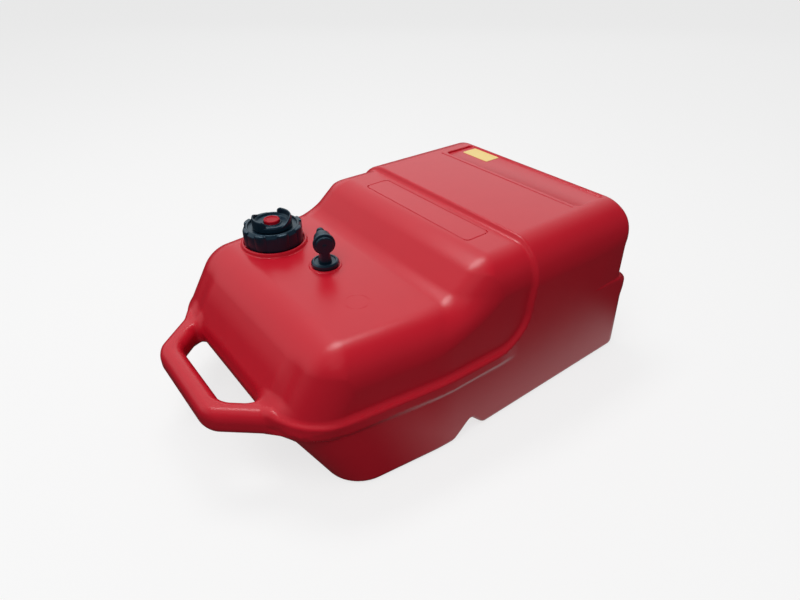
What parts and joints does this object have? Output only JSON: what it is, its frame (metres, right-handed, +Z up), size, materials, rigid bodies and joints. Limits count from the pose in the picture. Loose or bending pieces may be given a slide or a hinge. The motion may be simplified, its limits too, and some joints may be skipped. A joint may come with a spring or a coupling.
{
  "type": "outboard fuel tank",
  "caption": "Portable low-profile fuel tank for an outboard motor, with a carrying handle, a vented screw cap and a swivelling fuel pickup.",
  "frame": {"origin": "on the floor, in the middle of the tank's length and width", "axes": "+X from the carrying handle towards the rear wall, +Y towards the filler's side, +Z up"},
  "size_m": [0.549, 0.3574, 0.206],
  "materials": {
    "tank_red": "satin, moulded",
    "label_yellow": "satin, printed plain",
    "cap_black": "satin",
    "fitting_black": "satin",
    "button_red": "satin",
    "seal_rubber": "matte",
    "spring_steel": "bright",
    "mesh_steel": "woven",
    "insert_brass": "machined",
    "leash_plastic": "matte",
    "inner_plastic": "natural"
  },
  "bodies": {
    "tank": {"tank_shell": "tank_red", "label_plate": "label_yellow", "pickup_insert": "insert_brass", "pickup_gasket": "seal_rubber", "pickup_base": "fitting_black", "swivel_clip": "spring_steel", "dip_tube": "inner_plastic", "strainer_cage": "inner_plastic", "strainer_mesh": "mesh_steel"},
    "leash": {"leash_ring": "leash_plastic", "leash_strap": "leash_plastic", "leash_bar": "leash_plastic"},
    "cap": {"filler_cap": "cap_black", "cap_gasket": "seal_rubber"},
    "vent_knob": {"vent_knob": "cap_black", "knob_o_ring": "seal_rubber", "knob_clip": "spring_steel", "vent_spring": "spring_steel"},
    "vent_button": {"vent_button": "button_red", "valve_seal": "seal_rubber", "valve_disc": "inner_plastic"},
    "elbow": {"pickup_elbow": "fitting_black", "swivel_o_ring": "seal_rubber", "tail_washer": "seal_rubber", "hose_tail": "fitting_black"}
  },
  "joints": [
    {"name": "cap_raise", "type": "slide", "parent": "tank", "child": "leash", "axis": [0, 0, 1], "range_m": [0, 0.009]},
    {"name": "cap_turn", "type": "hinge", "parent": "leash", "child": "cap", "pos_m": [-0.1015, 0.095, 0.164], "axis": [0, 0, 1], "range_deg": [0, 540]},
    {"name": "vent_turn", "type": "hinge", "parent": "cap", "child": "vent_knob", "pos_m": [-0.1015, 0.095, 0.19], "axis": [0, 0, 1], "range_deg": [0, 90]},
    {"name": "vent_press", "type": "slide", "parent": "vent_knob", "child": "vent_button", "axis": [0, 0, -1], "range_m": [0, 0.002], "stiffness_N_per_m": 500, "springref_m": -0.003, "deforming": ["vent_spring"]},
    {"name": "elbow_swivel", "type": "hinge", "parent": "tank", "child": "elbow", "pos_m": [-0.0815, 0.008, 0.174], "axis": [0, 0, 1], "continuous": true}
  ],
  "couplings": [
    {"joint": "cap_raise", "follows": "cap_turn", "m_per_rad": 0.00095492}
  ]
}
